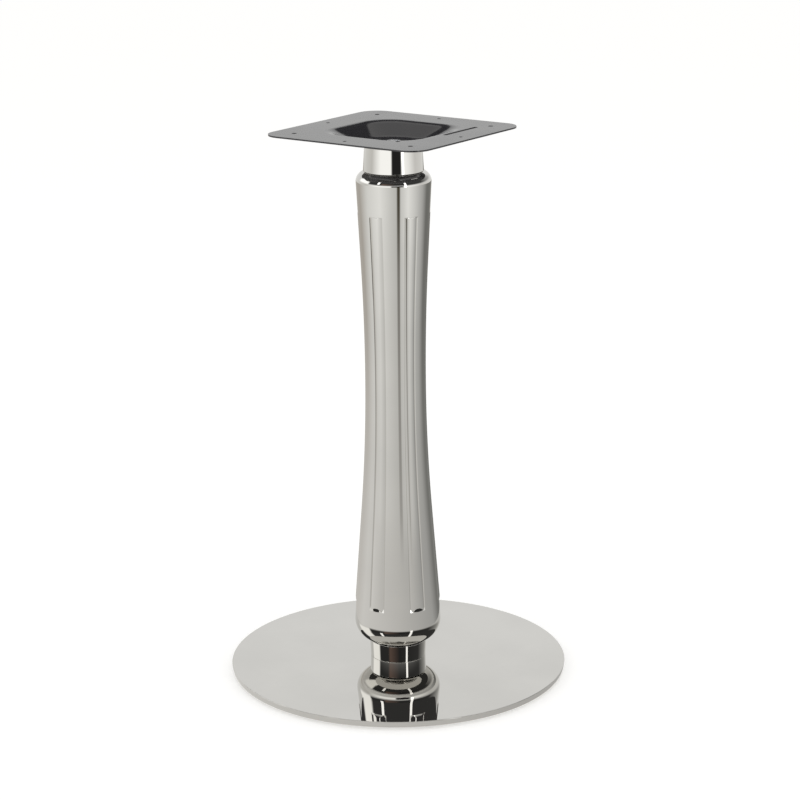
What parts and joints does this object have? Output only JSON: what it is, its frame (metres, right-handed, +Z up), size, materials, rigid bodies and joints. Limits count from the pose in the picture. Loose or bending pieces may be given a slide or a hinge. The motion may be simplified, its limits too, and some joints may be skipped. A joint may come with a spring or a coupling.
{
  "type": "pedestal table base",
  "caption": "Polished steel pedestal table base: round floor disc, ribbed hourglass column and a square pressed top plate that a table top is screwed to.",
  "frame": {"origin": "on the floor, on the axis of the column", "axes": "+Z up along the column; X and Y along the sides of the square top plate"},
  "size_m": [0.45, 0.45, 0.732],
  "materials": {
    "polished_steel": "mirror polished",
    "coated_plate": "dark semi-gloss coating",
    "zinc_steel": "bright zinc plated",
    "black_plastic": "moulded, fine grain"
  },
  "bodies": {
    "root": {"base_disc": "polished_steel", "lower_neck": "polished_steel", "column": "polished_steel", "upper_collar": "polished_steel", "top_plate": "coated_plate", "tie_rod": "zinc_steel", "top_washer": "zinc_steel", "top_nut": "zinc_steel", "coupling_nut": "zinc_steel", "base_screw": "zinc_steel", "glide_studs": "zinc_steel", "lower_bush": "black_plastic", "upper_bush": "black_plastic", "glide_feet": "black_plastic"}
  },
  "joints": []
}
